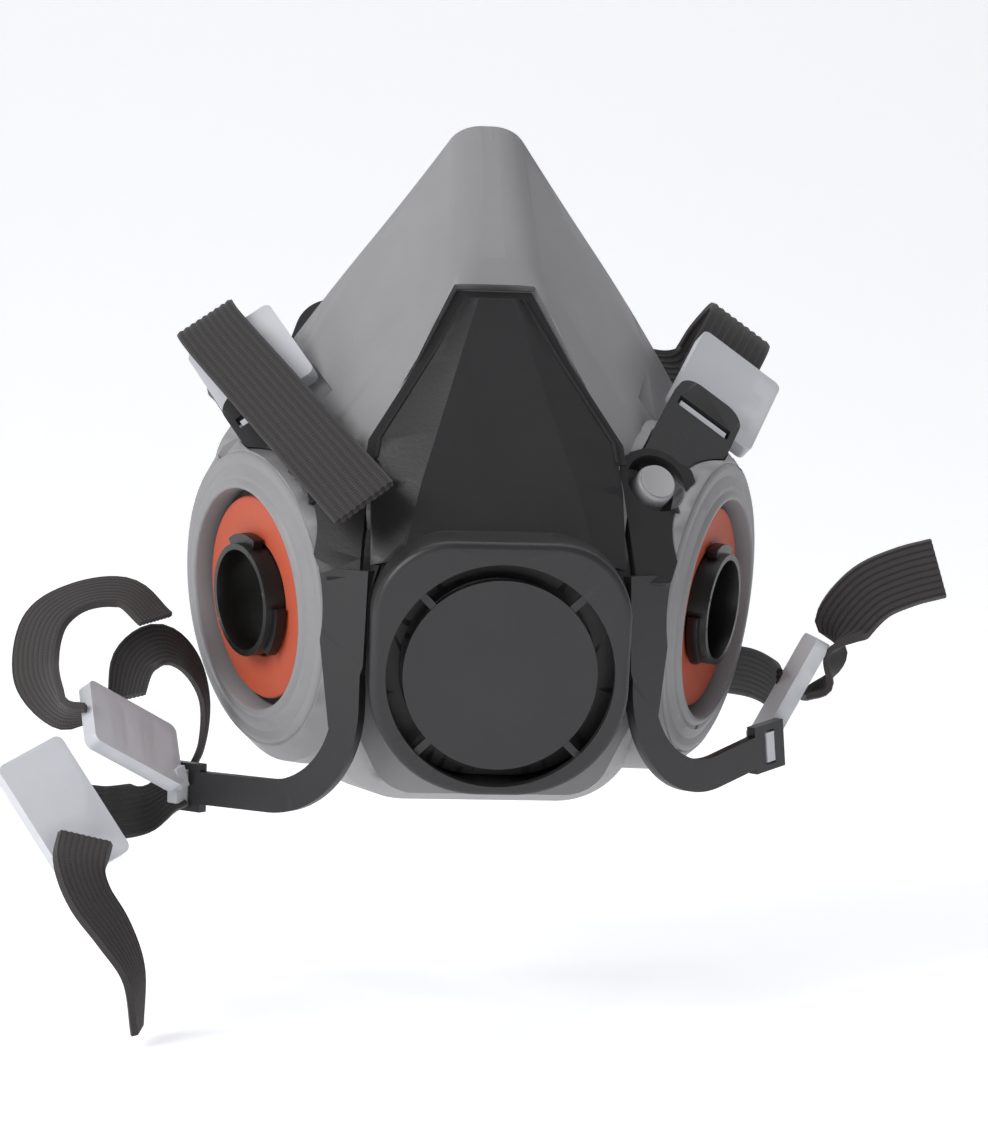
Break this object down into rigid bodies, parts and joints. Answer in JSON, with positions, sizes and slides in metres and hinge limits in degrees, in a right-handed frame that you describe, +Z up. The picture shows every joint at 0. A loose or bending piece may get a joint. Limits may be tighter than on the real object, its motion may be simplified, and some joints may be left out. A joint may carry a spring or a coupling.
{
  "type": "half-mask respirator",
  "caption": "Reusable half-face respirator: soft facepiece with bayonet inlet ports on the cheeks, a slotted exhalation cover and elastic head harness.",
  "frame": {"origin": "middle of the face seal, on the face line between nose bridge and chin, where the wearer's face holds the mask", "axes": "+Z up towards the nose bridge, -Y out of the front, X across the face"},
  "size_m": [0.1871, 0.1182, 0.1741],
  "materials": {
    "seal_rubber": "satin moulded elastomer",
    "dark_plastic": "fine satin moulded nylon",
    "port_plastic": "satin moulded nylon",
    "gasket_rubber": "matte silicone rubber",
    "silicone": "thin silicone film",
    "stud_plastic": "satin nylon",
    "clear_plastic": "translucent polypropylene",
    "elastic": "ribbed woven elastic",
    "cradle_plastic": "soft matte polyethylene"
  },
  "bodies": {
    "root": {"centre_adapter": "dark_plastic", "crown_cradle": "cradle_plastic", "face_seal": "seal_rubber", "left_crown_band": "elastic", "left_harness_stud": "stud_plastic", "left_port_body": "port_plastic", "left_port_gasket": "gasket_rubber", "left_port_retainer": "port_plastic", "left_yoke": "dark_plastic", "right_crown_band": "elastic", "right_harness_stud": "stud_plastic", "right_port_body": "port_plastic", "right_port_gasket": "gasket_rubber", "right_port_retainer": "port_plastic", "right_yoke": "dark_plastic"},
    "exhalation_flap": {"exhalation_valve": "silicone"},
    "front_cover": {"valve_cover": "dark_plastic"},
    "left_inhalation_flap": {"left_inhalation_valve": "silicone"},
    "right_inhalation_flap": {"right_inhalation_valve": "silicone"},
    "left_upper_buckle": {"left_upper_buckle": "clear_plastic", "left_crown_strap": "elastic"},
    "right_upper_buckle": {"right_upper_buckle": "clear_plastic", "right_crown_strap": "elastic"},
    "left_neck_adjuster": {"left_neck_adjuster": "clear_plastic", "left_neck_strap": "elastic", "left_neck_loop": "elastic"},
    "left_neck_clasp": {"left_neck_clasp": "clear_plastic", "left_neck_tail": "elastic", "left_clasp_strap": "elastic"},
    "right_neck_clasp": {"right_neck_clasp": "clear_plastic", "right_neck_tail": "elastic", "right_neck_strap": "elastic"}
  },
  "joints": [
    {"name": "exhalation_lift", "type": "slide", "parent": "root", "child": "exhalation_flap", "axis": [0, -0.9848, -0.1736], "range_m": [0, 0.002], "stiffness_N_per_m": 20, "springref_m": -0.0005},
    {"name": "left_inhalation_lift", "type": "slide", "parent": "root", "child": "left_inhalation_flap", "axis": [0.8939, 0.436, 0.1045], "range_m": [0, 0.0015], "stiffness_N_per_m": 20, "springref_m": -0.0005},
    {"name": "right_inhalation_lift", "type": "slide", "parent": "root", "child": "right_inhalation_flap", "axis": [-0.8939, 0.436, 0.1045], "range_m": [0, 0.0015], "stiffness_N_per_m": 20, "springref_m": -0.0005},
    {"name": "cover_pull", "type": "slide", "parent": "root", "child": "front_cover", "axis": [0, -0.9848, -0.1736], "range_m": [0, 0.015]},
    {"name": "right_buckle_hinge", "type": "hinge", "parent": "root", "child": "right_upper_buckle", "pos_m": [0.04295, -0.0148, 0.01596], "axis": [0.8211, -0.0001, -0.5708], "range_deg": [-4, 2], "stiffness_Nm_per_rad": 0.02},
    {"name": "left_buckle_hinge", "type": "hinge", "parent": "root", "child": "left_upper_buckle", "pos_m": [-0.04295, -0.0148, 0.01596], "axis": [0.8211, 0.0001, 0.5708], "range_deg": [-3.5, 2], "stiffness_Nm_per_rad": 0.02},
    {"name": "adjuster_hinge", "type": "hinge", "parent": "root", "child": "left_neck_adjuster", "pos_m": [-0.05794, -0.02525, -0.0572], "axis": [0, 0, 1], "range_deg": [-4, 6], "stiffness_Nm_per_rad": 0.02},
    {"name": "left_clasp_hinge", "type": "hinge", "parent": "root", "child": "left_neck_clasp", "pos_m": [-0.05794, -0.02525, -0.0572], "axis": [0, 0, 1], "range_deg": [-4, 6], "stiffness_Nm_per_rad": 0.02},
    {"name": "right_clasp_hinge", "type": "hinge", "parent": "root", "child": "right_neck_clasp", "pos_m": [0.05724, -0.02589, -0.0474], "axis": [0, 0, 1], "range_deg": [-5, 2], "stiffness_Nm_per_rad": 0.02}
  ]
}
